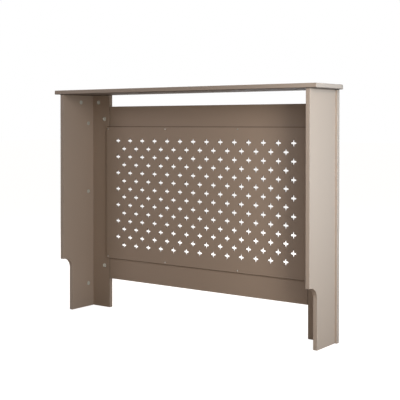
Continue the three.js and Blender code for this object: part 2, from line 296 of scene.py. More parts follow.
def list_joints(side, sign):
    """Every cam lock joint of one end: the side panel's four and then the post's three."""
    inwards = (-sign, 0, 0)
    wall, post = f"side_panel_{side}", f"front_post_{side}"
    top = SHELF_UNDERSIDE - CAM_SETBACK
    joints = [Joint(f"{side}_side_to_shelf", wall, "top_shelf", (sign * SIDE_INNER, SIDE_CAM_SETBACK, top),
                    inwards, Z_AXIS, [(0, 1.5 * DOWEL_SPACING, 0)])]
    for place, height in CAM_HEIGHTS.items():
        dowels = []
        if place == "middle":
            dowels = [(0, 0, (CAM_HEIGHTS["high"] - height) / 2), (0, 0, (CAM_HEIGHTS["low"] - height) / 2)]
        joints.append(Joint(f"{side}_side_to_post_{place}", wall, post,
                            (sign * SIDE_INNER, FRAME_REAR + CAM_SETBACK, height), inwards, -Y_AXIS, dowels))
    point = (sign * POST_CAM_ACROSS, FRAME_REAR, top)
    joints.append(Joint(f"{side}_post_to_shelf", post, "top_shelf", point, Y_AXIS, Z_AXIS,
                        [(-sign * DOWEL_SPACING, 0, 0)]))
    for rail, (low, high), offset in (("top_rail", TOP_RAIL, DOWEL_SPACING),
                                      ("bottom_rail", BOTTOM_RAIL, -DOWEL_SPACING)):
        point = (sign * (POST_INNER + CAM_SETBACK), FRAME_REAR, (low + high) / 2)
        joints.append(Joint(f"{side}_post_to_{rail}", post, rail, point, Y_AXIS, inwards, [(0, 0, offset)]))
    return joints


JOINTS = list_joints("left", -1) + list_joints("right", 1)


def list_screws():
    """Where each panel screw goes in: its node's name, its point on the panel, and its board."""
    screws = []
    outer = PANEL_LENGTH / 2 - SCREW_EDGE
    rows = {"top": PANEL_BOTTOM + PANEL_HEIGHT - SCREW_EDGE, "bottom": PANEL_BOTTOM + SCREW_EDGE}
    for row, height in rows.items():
        for column, across, board in (("left_outer", -outer, "front_post_left"),
                                      ("left_inner", -SCREW_INNER_COLUMN, f"{row}_rail"),
                                      ("right_inner", SCREW_INNER_COLUMN, f"{row}_rail"),
                                      ("right_outer", outer, "front_post_right")):
            screws.append((f"panel_screw_{row}_{column}", Vector((across, PANEL_REAR, height)), board))
    return screws


SCREWS = list_screws()


def hole(radius, start, end, sides=HOLE_SIDES):
    """A straight round cutter along z."""
    return turned([(0, start), (radius, start), (radius, end), (0, end)], sides)


def drillings(board):
    """Everything that is drilled into one board, as one cutting mesh."""
    parts = []
    lift = shift(z=FITTING_DEPTH)
    chamfered = POCKET_RADIUS + POCKET_CHAMFER
    pocket = [(0, -POCKET_DEPTH), (POCKET_RADIUS, -POCKET_DEPTH), (POCKET_RADIUS, -POCKET_CHAMFER),
              (chamfered, 0), (chamfered, OVERLAP), (0, OVERLAP)]
    for joint in JOINTS:
        if joint.home == board:
            parts.append(moved(turned(pocket, POCKET_SIDES), joint.frame))
            parts.append(moved(along_y(hole(BORE_RADIUS, 0, CAM_SETBACK + OVERLAP)), lift, joint.frame))
            start = CAM_SETBACK - (DOWEL_LENGTH - DOWEL_IN_MATE) - DOWEL_HOLE_SLACK
            end = CAM_SETBACK + OVERLAP
        elif joint.mate == board:
            start = CAM_SETBACK - OVERLAP
            pilot = hole(PILOT_RADIUS, start, CAM_SETBACK + PILOT_DEPTH)
            parts.append(moved(along_y(pilot), lift, joint.frame))
            end = CAM_SETBACK + DOWEL_IN_MATE + DOWEL_HOLE_SLACK
        else:
            continue
        for place in joint.dowel_frames():
            parts.append(moved(along_y(hole(DOWEL_HOLE_RADIUS, start, end)), lift, place))
    for _, point, home in SCREWS:
        if home == board:
            cutter = hole(SCREW_HOLE_RADIUS, -SCREW_REACH - SCREW_HOLE_SLACK, OVERLAP, SCREW_HOLE_SIDES)
            parts.append(moved(along_y(cutter), Matrix.Translation(point)))
    return gathered(parts)


# ---- material helpers ------------------------------------------------------------------------

class Tree:
    """A node tree that is put together in a few words. A node given as a value means its first output."""

    def __init__(self, tree):
        self.tree = tree

    def node(self, kind, inputs=None, **settings):
        made = self.tree.nodes.new(kind)
        for key, value in settings.items():
            setattr(made, key, value)
        for key, value in (inputs or {}).items():
            self.feed(value, made.inputs[key])
        return made

    def feed(self, value, socket):
        if isinstance(value, bpy.types.NodeSocket):
            self.tree.links.new(value, socket)
        elif isinstance(value, bpy.types.Node):
            self.tree.links.new(value.outputs[0], socket)
        else:
            socket.default_value = value

    def math(self, operation, *values):
        return self.node("ShaderNodeMath", dict(enumerate(values)), operation=operation).outputs[0]

    def noise(self, place, scale, detail=2.0, roughness=0.5):
        inputs = {"Vector": place, "Scale": scale, "Detail": detail, "Roughness": roughness}
        return self.node("ShaderNodeTexNoise", inputs).outputs["Fac"]

    def swing(self, value, width):
        """A value from 0 to 1, turned into one that swings about 0."""
        return self.math("MULTIPLY", self.math("SUBTRACT", value, 0.5), width)

    def spread(self, value, low, high, out_low, out_high):
        """A value between low and high, carried over to another range and held inside it."""
        inputs = {"Value": value, "From Min": low, "From Max": high, "To Min": out_low, "To Max": out_high}
        return self.node("ShaderNodeMapRange", inputs).outputs["Result"]

    def tinted(self, colour, factor):
        """A colour, made lighter or darker by a factor."""
        grey = self.node("ShaderNodeCombineColor", {"Red": factor, "Green": factor, "Blue": factor})
        return self.blended(1.0, colour, grey.outputs[0], "MULTIPLY")

    def joined(self, *parts):
        """Several pieces of geometry as one, with every copy made real."""
        join = self.node("GeometryNodeJoinGeometry")
        for part in parts:
            self.feed(part, join.inputs[0])
        return self.node("GeometryNodeRealizeInstances", {"Geometry": join})

    def blended(self, factor, first, second, blend_type="MIX"):
        """From one colour to another, by a factor."""
        mix = self.node("ShaderNodeMix", data_type="RGBA", blend_type=blend_type)
        # A Mix node's colours are its inputs 6 and 7 and its output 2. The others are of other types.
        self.feed(factor, mix.inputs["Factor"])
        self.feed(first, mix.inputs[6])
        self.feed(second, mix.inputs[7])
        return mix.outputs[2]


def new_group(name, kind, inputs, outputs):
    """A node group with named sockets: inputs are (name, type, default), outputs (name, type)."""
    tree = bpy.data.node_groups.new(name, kind)
    for label, socket, default in inputs:
        made = tree.interface.new_socket(label, in_out="INPUT", socket_type=f"NodeSocket{socket}")
        if default is not None:
            made.default_value = default
    for label, socket in outputs:
        tree.interface.new_socket(label, in_out="OUTPUT", socket_type=f"NodeSocket{socket}")
    maker = Tree(tree)
    return maker, maker.node("NodeGroupInput"), maker.node("NodeGroupOutput")


def srgb(red, green, blue):
    """A colour as it looks on a screen, from 0 to 255, in linear light."""
    def linear(value):
        share = value / 255
        return share / 12.92 if share <= 0.04045 else ((share + 0.055) / 1.055) ** 2.4
    return (linear(red), linear(green), linear(blue), 1.0)


def painted_shade_mask(tree, place):
    """1 where shade is painted in: thin dark lines round the panel on the frame's rear and between
    the rails and the posts, and the shelf's whole underside, fading out a few millimetres above and below it."""
    axes = tree.node("ShaderNodeSeparateXYZ", {"Vector": place}).outputs
    across, up = tree.math("ABSOLUTE", axes["X"]), axes["Z"]

    def past(value, edge):
        return tree.math("SUBTRACT", value, edge * MM)

    def off(value, middle):
        return tree.math("ABSOLUTE", past(value, middle))

    def line(value, middle, width):
        """1 in the middle half of a line, fading to 0 a little past its edges."""
        return tree.spread(off(value, middle), 0.25 * width * MM, 0.75 * width * MM, 1.0, 0.0)

    # Painted shade: thin dark lines round the panel's rim on the frame's rear, and where the rails meet the
    # posts.
    from_middle = off(up, PANEL_BOTTOM + PANEL_HEIGHT / 2)
    rim = tree.math("MAXIMUM", past(across, PANEL_LENGTH / 2), past(from_middle, PANEL_HEIGHT / 2))
    on_rear = tree.math("GREATER_THAN", axes["Y"], (FRAME_REAR - PAINTED_SHADE_TOLERANCE) * MM)
    painted_rim_shade = tree.math("MULTIPLY", line(rim, PAINTED_SHADE_WIDTH / 2, PAINTED_SHADE_WIDTH), on_rear)
    beside_rails = tree.math("MAXIMUM", *(
        tree.math("LESS_THAN", off(up, (low + high) / 2), (high - low) / 2 * MM)
        for low, high in (TOP_RAIL, BOTTOM_RAIL)))
    painted_rail_shade = tree.math("MULTIPLY", line(across, POST_INNER, PAINTED_SHADE_WIDTH), beside_rails)
    # Painted shade under the shelf: its whole underside, fading out a few millimetres above and below it.
    painted_shade_under_shelf = line(up, SHELF_UNDERSIDE, 2 * PAINTED_SHADE_WIDTH)
    return tree.math("MAXIMUM", painted_shade_under_shelf, tree.math("MAXIMUM", painted_rim_shade, painted_rail_shade))


def build_satin_coat():
    """Satin paint: a faint drift in tone, fine stipple, sawn edges with a tint of their own, and painted
    shade in the seams and under the shelf.
    """
    tree, given, result = new_group(
        "satin_coat", "ShaderNodeTree",
        [("Tone", "Color", None), ("Tone Drift", "Float", 0.02), ("Stipple Size", "Float", 0.0011),
         ("Gloss Drift", "Float", 0.04), ("Roughness", "Float", 0.6),
         ("Edge Tint", "Color", (1.0, 1.0, 1.0, 1.0)), ("Edge Roughness", "Float", 0.12),
         ("Fibre", "Float", 0.6), ("Seam Tone", "Float", 1.0)],
        [("Color", "Color"), ("Roughness", "Float"), ("Height", "Float")])
    place = tree.node("ShaderNodeTexCoord").outputs["Object"]
    edge = tree.node("ShaderNodeAttribute", attribute_name="cut_edge").outputs["Fac"]
    cloud = tree.noise(place, scale=3.1, detail=3.0, roughness=0.55)
    mottle = tree.noise(place, scale=46.0)

    # The colour: the tone, tinted on sawn edges, drifting a little, and darkened with painted shade in the
    # seams and under the shelf.
    drift = tree.math("ADD", tree.swing(cloud, 1.4), tree.swing(mottle, 0.6))
    factor = tree.math("ADD", 1.0, tree.math("MULTIPLY", drift, given.outputs["Tone Drift"]))
    change = tree.math("SUBTRACT", given.outputs["Seam Tone"], 1.0)
    painted_shade_factor = tree.math("ADD", 1.0, tree.math("MULTIPLY", painted_shade_mask(tree, place), change))
    tone = tree.blended(edge, given.outputs["Tone"], given.outputs["Edge Tint"], "MULTIPLY")
    tree.feed(tree.tinted(tone, tree.math("MULTIPLY", factor, painted_shade_factor)), result.inputs["Color"])

    # The roughness: it drifts with the mottle, and sawn edges are duller.
    rough = tree.math("ADD", given.outputs["Roughness"], tree.swing(mottle, given.outputs["Gloss Drift"]))
    edge_rough = tree.math("MULTIPLY", edge, given.outputs["Edge Roughness"])
    tree.feed(tree.math("ADD", rough, edge_rough), result.inputs["Roughness"])

    # The relief: stipple over a wider orange peel, and raised fibres on sawn edges.
    stipple_scale = tree.math("DIVIDE", 1.0, given.outputs["Stipple Size"])
    stipple = tree.noise(place, stipple_scale, detail=1.5, roughness=0.45)
    orange_peel = tree.noise(place, tree.math("MULTIPLY", stipple_scale, 0.28), detail=1.0)
    height = tree.math("ADD", tree.math("MULTIPLY", stipple, 0.6), tree.math("MULTIPLY", orange_peel, 0.9))
    fibre = tree.noise(place, scale=1900.0, detail=3.0, roughness=0.7)
    fibres = tree.math("MULTIPLY", tree.math("MULTIPLY", fibre, edge), given.outputs["Fibre"])
    tree.feed(tree.math("ADD", height, fibres), result.inputs["Height"])
    return tree.tree


def build_zinc_plating():
    """Zinc on small steel and cast parts: clouded tone, tumbling marks, and a slight cast grain."""
    tree, given, result = new_group(
        "zinc_plating", "ShaderNodeTree",
        [("Tone", "Color", None), ("Cloud", "Float", 0.15), ("Roughness", "Float", 0.38),
         ("Grain Size", "Float", 0.0004)],
        [("Color", "Color"), ("Roughness", "Float"), ("Height", "Float")])
    place = tree.node("ShaderNodeTexCoord").outputs["Object"]
    cloud = tree.noise(place, scale=420.0, detail=3.0, roughness=0.6)
    factor = tree.math("ADD", 1.0, tree.swing(cloud, given.outputs["Cloud"]))
    tree.feed(tree.tinted(given.outputs["Tone"], factor), result.inputs["Color"])
    marks = tree.noise(place, scale=1300.0, roughness=0.6)
    rough = tree.math("ADD", given.outputs["Roughness"], tree.swing(marks, 0.25))
    tree.feed(rough, result.inputs["Roughness"])
    grain = tree.noise(place, tree.math("DIVIDE", 1.0, given.outputs["Grain Size"]))
    tree.feed(grain, result.inputs["Height"])
    return tree.tree


def coated_material(name, group, values, bump_strength, bump_depth, **surface):
    """A material whose colour, roughness and fine relief come from a shared group."""
    material = bpy.data.materials.new(name)
    material.use_nodes = True
    tree = Tree(material.node_tree)
    shader = material.node_tree.nodes["Principled BSDF"]
    finish = tree.node("ShaderNodeGroup", node_tree=group)
    for key, value in values.items():
        finish.inputs[key].default_value = value
    bump = tree.node("ShaderNodeBump", {"Strength": bump_strength, "Distance": bump_depth,
                                        "Height": finish.outputs["Height"]})
    tree.feed(finish.outputs["Color"], shader.inputs["Base Color"])
    tree.feed(finish.outputs["Roughness"], shader.inputs["Roughness"])
    tree.feed(bump.outputs["Normal"], shader.inputs["Normal"])
    for key, value in surface.items():
        shader.inputs[key.replace("_", " ")].default_value = value
    return material


def beech_material():
    """Turned beech: long pale grain with short darker flecks, along each dowel's own length."""
    material = bpy.data.materials.new("beech")
    material.use_nodes = True
    tree = Tree(material.node_tree)
    shader = material.node_tree.nodes["Principled BSDF"]
    place = tree.node("ShaderNodeAttribute", attribute_name="along_grain").outputs["Vector"]
    stretched = tree.node("ShaderNodeMapping", {"Vector": place, "Scale": (900.0, 900.0, 60.0)}).outputs[0]
    grain = tree.noise(stretched, scale=1.0, detail=4.0, roughness=0.6)
    flecks = tree.spread(tree.noise(stretched, scale=2.6), 0.6, 0.75, 0.0, 1.0)
    pale = tree.blended(grain, srgb(222, 190, 146), srgb(190, 150, 104))
    tree.feed(tree.blended(flecks, pale, srgb(150, 108, 72)), shader.inputs["Base Color"])
    tree.feed(tree.spread(grain, 0.3, 0.7, 0.62, 0.8), shader.inputs["Roughness"])
    bump = tree.node("ShaderNodeBump", {"Strength": 0.4, "Distance": 0.0001, "Height": grain})
    tree.feed(bump.outputs["Normal"], shader.inputs["Normal"])
    return material


PAINT = srgb(180, 163, 147)
PAINT_GLOSS, PAINT_RELIEF, PAINT_RELIEF_DEPTH = 0.15, 0.35, 0.00004
SATIN_COAT = build_satin_coat()
ZINC_PLATING = build_zinc_plating()
# The boards' paint darkens to 0.35 of its tone in the seams and over the shelf's underside: painted shade.
board_paint = coated_material(
    "satin_board_paint", SATIN_COAT,
    {"Tone": PAINT, "Seam Tone": 0.35, "Edge Tint": (1.0, 1.04, 1.08, 1.0)},
    PAINT_RELIEF, PAINT_RELIEF_DEPTH, Specular_IOR_Level=PAINT_GLOSS)
panel_paint = coated_material(
    "satin_panel_paint", SATIN_COAT,
    {"Tone": PAINT, "Tone Drift": 0.025, "Stipple Size": 0.0009, "Edge Tint": (0.7, 0.7, 0.7, 1.0),
     "Fibre": 0.8},
    PAINT_RELIEF, PAINT_RELIEF_DEPTH, Specular_IOR_Level=PAINT_GLOSS)
cast_zinc = coated_material(
    "cast_zinc", ZINC_PLATING, {"Tone": srgb(208, 209, 200), "Cloud": 0.25, "Roughness": 0.52},
    0.3, 0.00003, Metallic=0.7)
bright_zinc = coated_material(
    "bright_zinc_plate", ZINC_PLATING, {"Tone": srgb(168, 164, 156), "Roughness": 0.4, "Grain Size": 0.0006},
    0.2, 0.00002, Metallic=1.0)
beech = beech_material()


# ---- boards ----------------------------------------------------------------------------------

def arc(middle, radius, start, end):
    """Points on an arc, from one angle to another, in degrees."""
    points = []
    for step in range(ARC_STEPS + 1):
        angle = math.radians(start + (end - start) * step / ARC_STEPS)
        points.append((middle[0] + radius * math.cos(angle), middle[1] + radius * math.sin(angle)))
    return points


def add_board(name, outline, lift):
    """A board: an outline raised by its thickness, with its edges rounded and its holes drilled."""
    mesh = rounded(to_mesh(prism(outline, lift)), EDGE_ROUNDING, EDGE_SEGMENTS, drillings(name))
    mark_cut_edges(mesh, Vector(lift).normalized())
    piece(name, mesh, board_paint, CABINET, [name])


def add_shelf():
    """The top shelf, with its two front corners rounded."""
    half_length, half_depth = SHELF_LENGTH / 2, SHELF_DEPTH / 2
    inner_length, inner_depth = half_length - SHELF_CORNER, half_depth - SHELF_CORNER
    plan = [(half_length, half_depth), (-half_length, half_depth)]
    plan += arc((-inner_length, -inner_depth), SHELF_CORNER, 180, 270)
    plan += arc((inner_length, -inner_depth), SHELF_CORNER, 270, 360)
    add_board("top_shelf", [(x, y, SHELF_UNDERSIDE) for x, y in plan], (0, 0, BOARD))


def add_side(side, sign):
    """A side panel, drawn from its end, with the skirting cut-out at its lower rear corner."""
    notch_front = REAR_EDGE - SKIRTING_DEPTH
    corner_middle = (notch_front + SKIRTING_CORNER, SKIRTING_HEIGHT - SKIRTING_CORNER)
    profile = [(FRAME_REAR, 0), (notch_front, 0)]
    profile += arc(corner_middle, SKIRTING_CORNER, 180, 90)
    profile += [(REAR_EDGE, SKIRTING_HEIGHT), (REAR_EDGE, SHELF_UNDERSIDE), (FRAME_REAR, SHELF_UNDERSIDE)]
    start = SIDE_INNER if sign > 0 else -SIDE_OUTER
    add_board(f"side_panel_{side}", [(start, y, z) for y, z in profile], (BOARD, 0, 0))


def add_upright_board(name, across, heights):
    """A plain board of the front frame, between two places across and two heights."""
    (x0, x1), (z0, z1) = sorted(across), heights
    corners = [(x0, z0), (x1, z0), (x1, z1), (x0, z1)]
    add_board(name, [(x, FRAME_FRONT, z) for x, z in corners], (0, BOARD, 0))


# ---- perforated panel ------------------------------------------------------------------------

def build_perforations():
    """A flat board with staggered rows of crosses cut through it, and a hole for each screw."""
    tree, given, result = new_group(
        "perforated_board", "GeometryNodeTree",
        [("Length", "Float", PANEL_LENGTH), ("Height", "Float", PANEL_HEIGHT),
         ("Bottom", "Float", PANEL_BOTTOM), ("Thickness", "Float", PANEL_THICKNESS),
         ("Rows", "Int", CROSS_ROWS), ("Crosses In Long Row", "Int", LONG_ROW),
         ("Pitch", "Float", CROSS_PITCH), ("Row Pitch", "Float", CROSS_ROW_PITCH),
         ("Top Row", "Float", TOP_ROW_HEIGHT), ("Pattern Shift", "Float", PATTERN_SHIFT),
         ("Arm Reach", "Float", CROSS_REACH), ("Tip Half Width", "Float", CROSS_TIP),
         ("Notch", "Float", CROSS_NOTCH), ("Corner Softness", "Float", CROSS_SOFTNESS),
         ("Screw Points", "Object", None), ("Screw Hole", "Float", SCREW_HOLE_RADIUS),
         ("Rear Face", "Float", PANEL_REAR), ("Finish", "Material", None)],
        [("Geometry", "Geometry")])
    size = given.outputs
    long_row = size["Crosses In Long Row"]
    index = tree.node("GeometryNodeInputIndex").outputs[0]

    # The cross: twelve corners on a curve, three to each quarter turn.
    quarter = tree.math("FLOOR", tree.math("DIVIDE", index, 3.0))
    corner = tree.math("SUBTRACT", index, tree.math("MULTIPLY", quarter, 3.0))
    is_notch = tree.math("GREATER_THAN", corner, 1.5)
    is_arm = tree.math("SUBTRACT", 1.0, is_notch)
    side = tree.math("SUBTRACT", tree.math("MULTIPLY", corner, 2.0), 1.0)
    notch = tree.math("MULTIPLY", is_notch, size["Notch"])
    across = tree.math("ADD", tree.math("MULTIPLY", is_arm, size["Arm Reach"]), notch)
    arm_up = tree.math("MULTIPLY", is_arm, tree.math("MULTIPLY", side, size["Tip Half Width"]))
    up = tree.math("ADD", arm_up, notch)
    turning = {"Vector": tree.node("ShaderNodeCombineXYZ", {"X": across, "Y": up}),
               "Angle": tree.math("MULTIPLY", quarter, math.pi / 2)}
    point = tree.node("ShaderNodeVectorRotate", turning, rotation_type="Z_AXIS")
    ring = tree.node("GeometryNodeCurvePrimitiveCircle", {"Resolution": CROSS_CORNERS})
    sharp = tree.node("GeometryNodeSetPosition", {"Geometry": ring, "Position": point})
    softening = {"Curve": sharp, "Count": 2, "Radius": size["Corner Softness"]}
    cross = tree.node("GeometryNodeFilletCurve", softening, mode="POLY")

    # The places: pairs of a long row and a short row, one cross fewer and half a pitch in.
    pair_length = tree.math("SUBTRACT", tree.math("MULTIPLY", long_row, 2.0), 1.0)
    pair = tree.math("FLOOR", tree.math("DIVIDE", index, pair_length))
    in_pair = tree.math("SUBTRACT", index, tree.math("MULTIPLY", pair, pair_length))
    is_short = tree.math("GREATER_THAN", in_pair, tree.math("SUBTRACT", long_row, 0.5))
    row = tree.math("ADD", tree.math("MULTIPLY", pair, 2.0), is_short)
    column = tree.math("SUBTRACT", in_pair, tree.math("MULTIPLY", is_short, long_row))
    in_row = tree.math("SUBTRACT", long_row, is_short)
    middle = tree.math("DIVIDE", tree.math("SUBTRACT", in_row, 1.0), 2.0)
    from_middle = tree.math("MULTIPLY", tree.math("SUBTRACT", column, middle), size["Pitch"])
    place_across = tree.math("ADD", size["Pattern Shift"], from_middle)
    place_up = tree.math("SUBTRACT", size["Top Row"], tree.math("MULTIPLY", row, size["Row Pitch"]))
    place = tree.node("ShaderNodeCombineXYZ", {"X": place_across, "Y": place_up})
    total = tree.math("MULTIPLY", tree.math("DIVIDE", size["Rows"], 2.0), pair_length)
    places = tree.node("GeometryNodePoints", {"Count": total, "Position": place})
    crosses = tree.node("GeometryNodeInstanceOnPoints", {"Points": places, "Instance": cross})

    # The screw holes, and the panel's own rim.
    screw_points = tree.node("GeometryNodeObjectInfo", {"Object": size["Screw Points"]}).outputs["Geometry"]
    screw_ring = tree.node("GeometryNodeCurvePrimitiveCircle",
                           {"Resolution": HOLE_SIDES, "Radius": size["Screw Hole"]})
    screw_holes = tree.node("GeometryNodeInstanceOnPoints", {"Points": screw_points, "Instance": screw_ring})
    rim = tree.node("GeometryNodeCurvePrimitiveQuadrilateral",
                    {"Width": size["Length"], "Height": size["Height"]})
    rim_height = tree.math("ADD", size["Bottom"], tree.math("DIVIDE", size["Height"], 2.0))
    rim_place = tree.node("ShaderNodeCombineXYZ", {"Y": rim_height})
    rim = tree.node("GeometryNodeTransform", {"Geometry": rim, "Translation": rim_place})
    outlines = tree.joined(rim, crosses, screw_holes)

    # The board: the outlines filled, given their thickness, and stood upright.
    face = tree.node("GeometryNodeFillCurve", {"Curve": outlines}, mode="TRIANGLES")
    raising = {"Mesh": face, "Offset Scale": size["Thickness"], "Individual": False}
    raised = tree.node("GeometryNodeExtrudeMesh", raising, mode="FACES")
    shell = tree.joined(raised, tree.node("GeometryNodeFlipFaces", {"Mesh": face}))
    closed = tree.node("GeometryNodeMergeByDistance", {"Geometry": shell, "Distance": WELD_DISTANCE})
    rear_place = tree.node("ShaderNodeCombineXYZ", {"Y": size["Rear Face"]})
    upright = tree.node("GeometryNodeTransform", {"Geometry": closed, "Translation": rear_place,
                                                  "Rotation": (math.pi / 2, 0, 0)})
    whole = tree.node("GeometryNodeRealizeInstances", {"Geometry": upright})
    finished = tree.node("GeometryNodeSetMaterial", {"Geometry": whole, "Material": size["Finish"]})
    tree.feed(finished, result.inputs["Geometry"])
    return tree.tree


def grown(tree, values):
    """Runs a geometry tree on an empty mesh with the values given, and returns a plain mesh."""
    made = linked(bpy.data.meshes.new("grown"))
    modifier = made.modifiers.new("grown", "NODES")
    modifier.node_group = tree
    for item in tree.interface.items_tree:
        if item.in_out == "INPUT" and item.name in values:
            modifier[item.identifier] = values[item.name]
    return settled(made)


def add_panel():
    """The perforated panel, with its rims and crosses rounded a little."""
    points = bpy.data.meshes.new("screw_points")
    points.from_pydata([(point.x, point.z, 0) for _, point, _ in SCREWS], [], [])
    holder = linked(points, "screw_points")
    flat = grown(build_perforations(), {"Screw Points": holder, "Finish": panel_paint})
    bpy.data.objects.remove(holder)
    mesh = rounded(flat, PANEL_EDGE_ROUNDING, PANEL_EDGE_SEGMENTS)
    mark_cut_edges(mesh, Y_AXIS)
    piece("grille_panel", mesh, panel_paint, CABINET, ["grille_panel"])


# ---- fittings --------------------------------------------------------------------------------

def cross_recess(length, width, depth, top=0.0, taper=0.55):
    """The cutters for a cross-shaped screwdriver recess whose wings narrow downwards."""
    x1, y1 = length / 2, width / 2
    mouth = [(-x1, -y1), (x1, -y1), (x1, y1), (-x1, y1)]
    wings = []
    for turn in (0, math.pi / 2):
        bm = bmesh.new()
        rings = []
        for height, share in ((-depth, taper), (0, 1.0), (OVERLAP, 1.0)):
            rings.append([bm.verts.new((x * share, y * (share + 1) / 2, height)) for x, y in mouth])
        bm.faces.new(rings[0])
        bm.faces.new(rings[-1])
        closed_loop_faces(bm, rings)
        bmesh.ops.recalc_face_normals(bm, faces=bm.faces)
        wings.append(moved(bm, Matrix.Rotation(turn, 4, "Z"), shift(z=top)))
    return wings


def cam_hollow():
    """The spiral track inside a cam, its neck slot and its mouth, as cutters."""
    floor, roof = FITTING_DEPTH - TRACK_HALF_HEIGHT, FITTING_DEPTH + TRACK_HALF_HEIGHT
    corners = []
    for step in range(TRACK_STEPS + 1):
        share = step / TRACK_STEPS
        angle = math.radians(TRACK_START - TRACK_SWEEP * share)
        radius = TRACK_RADIUS + TRACK_SPREAD * share
        corners.append((radius * math.cos(angle), radius * math.sin(angle), floor))
    corners += [(-3.6, -2.4, floor), (-3.8, 0, floor), (-3.6, 2.4, floor)]
    track = prism(corners, (0, 0, roof - floor))
    neck = box((-NECK_HALF_WIDTH, -CAM_OUTSIDE, FITTING_DEPTH - NECK_HALF_WIDTH),
               (CAM_OUTSIDE, CAM_OUTSIDE, FITTING_DEPTH + NECK_HALF_WIDTH))
    mouth = box((-MOUTH_HALF_WIDTH, -CAM_OUTSIDE, floor), (MOUTH_HALF_WIDTH, -1, roof))
    return [track, neck, mouth]


def cam_mesh():
    """A die-cast cam: a raised rim, a dished face with a cross recess, and an arrow to its mouth."""
    profile = [(0, -CAM_HEIGHT), (6.9, -CAM_HEIGHT), (CAM_RADIUS, -11.4), (CAM_RADIUS, -0.4), (7.0, 0),
               (6.35, 0), (6.1, -0.3), (0, -0.3)]
    arrow = prism([(-1.3, -4.1, -0.8), (0, -5.8, -0.8), (1.3, -4.1, -0.8)], (0, 0, 1.2))
    disc = to_mesh(turned(profile, CAM_SIDES))
    for cutter in cam_hollow() + cross_recess(7.4, 1.7, 3.2) + [arrow]:
        disc = cut_out(linked(disc), to_mesh(cutter), "cam_cutter")
    return disc


def thread(pitch, depth, start, end):
    """The shape of a thread from one height to another: how a shank's radius changes round and along it."""
    def radius_at(radius, angle, height):
        if not start < height < end:
            return radius
        phase = (height / pitch - angle / (2 * math.pi)) % 1.0
        return radius - depth * abs(2 * phase - 1)
    return radius_at


def threaded_span(start, end, radius, step):
    """Enough rings along a shank for a thread to show."""
    count = max(1, round((end - start) / step))
    return [(radius, start + (end - start) * i / count) for i in range(count + 1)]


def bolt_mesh():
    """A cam bolt: ball head, neck, collar, and a coarse thread in the mating board."""
    tip = CAM_SETBACK + BOLT_IN_MATE
    profile = [(0, -0.6), (1.5, -0.45), (2.5, 0.2), (3.0, 1.1), (3.0, 3.1), (2.5, 4.0), (1.8, 4.9)]
    profile += [(1.8, 9.0), (2.7, 9.6), (2.7, 27.2), (3.1, 27.6), (3.1, CAM_SETBACK)]
    profile += threaded_span(CAM_SETBACK + 0.4, tip - 1.5, 3.0, 0.35)
    profile += [(1.6, tip - 0.4), (0, tip)]
    shape = thread(BOLT_THREAD_PITCH, BOLT_THREAD_DEPTH, CAM_SETBACK + 0.2, tip - 1.4)
    return to_mesh(along_y(turned(profile, SHANK_SIDES, shape)))


def screw_mesh():
    """A pan-head screw with a cross recess, its head on the panel's rear face."""
    tip = -SCREW_REACH
    profile = [(0, tip), (0.5, tip + 0.8)] + threaded_span(tip + 1.8, -2.2, 1.6, 0.22)
    profile += [(1.35, -1.9), (1.35, 0), (3.0, 0), (3.0, 0.35), (2.85, 0.85), (2.45, 1.3), (1.8, 1.52)]
    profile += [(0, 1.6)]
    shape = thread(SCREW_THREAD_PITCH, SCREW_THREAD_DEPTH, tip + 1.7, -2.1)
    mesh = to_mesh(turned(profile, SHANK_SIDES, shape))
    for cutter in cross_recess(3.2, 0.75, 1.0, top=1.55):
        mesh = cut_out(linked(mesh), to_mesh(cutter), "screw_cutter")
    mesh.transform(ALONG_Y)
    return mesh


def flute(radius, angle, height):
    """The fluted shape of a dowel, the same all along it."""
    return radius - FLUTE_DEPTH * (0.5 + 0.5 * math.cos(FLUTES * angle))


def dowel_mesh():
    """A fluted beech dowel with tapered ends, and its grain along its own length."""
    end = CAM_SETBACK + DOWEL_IN_MATE
    start = end - DOWEL_LENGTH
    profile = [(0, start), (DOWEL_END_RADIUS, start), (DOWEL_RADIUS, start + DOWEL_TAPER),
               (DOWEL_RADIUS, end - DOWEL_TAPER), (DOWEL_END_RADIUS, end), (0, end)]
    mesh = to_mesh(turned(profile, DOWEL_SIDES, flute))
    grain = mesh.attributes.new("along_grain", "FLOAT_VECTOR", "POINT")
    for vertex in mesh.vertices:
        grain.data[vertex.index].vector = vertex.co * MM
    mesh.transform(ALONG_Y)
    return mesh


def build_fittings_on_points():
    """Puts one fitting on each of a set of points, turned as each point says."""
    tree, given, result = new_group(
        "fittings_on_points", "GeometryNodeTree",
        [("Fitting", "Object", None), ("Places", "Object", None), ("Finish", "Material", None)],
        [("Geometry", "Geometry")])
    fitting = tree.node("GeometryNodeObjectInfo", {"Object": given.outputs["Fitting"]}).outputs["Geometry"]
    places = tree.node("GeometryNodeObjectInfo", {"Object": given.outputs["Places"]}).outputs["Geometry"]
    angles = tree.node("GeometryNodeInputNamedAttribute", {"Name": "turn"}, data_type="FLOAT_VECTOR")
    turn = tree.node("FunctionNodeEulerToRotation", {"Euler": angles})
    placing = {"Points": places, "Instance": fitting, "Rotation": turn}
    placed = tree.node("GeometryNodeInstanceOnPoints", placing)
    whole = tree.node("GeometryNodeRealizeInstances", {"Geometry": placed})
    finished = tree.node("GeometryNodeSetMaterial", {"Geometry": whole, "Material": given.outputs["Finish"]})
    tree.feed(finished, result.inputs["Geometry"])
    return tree.tree


FITTINGS_ON_POINTS = build_fittings_on_points()


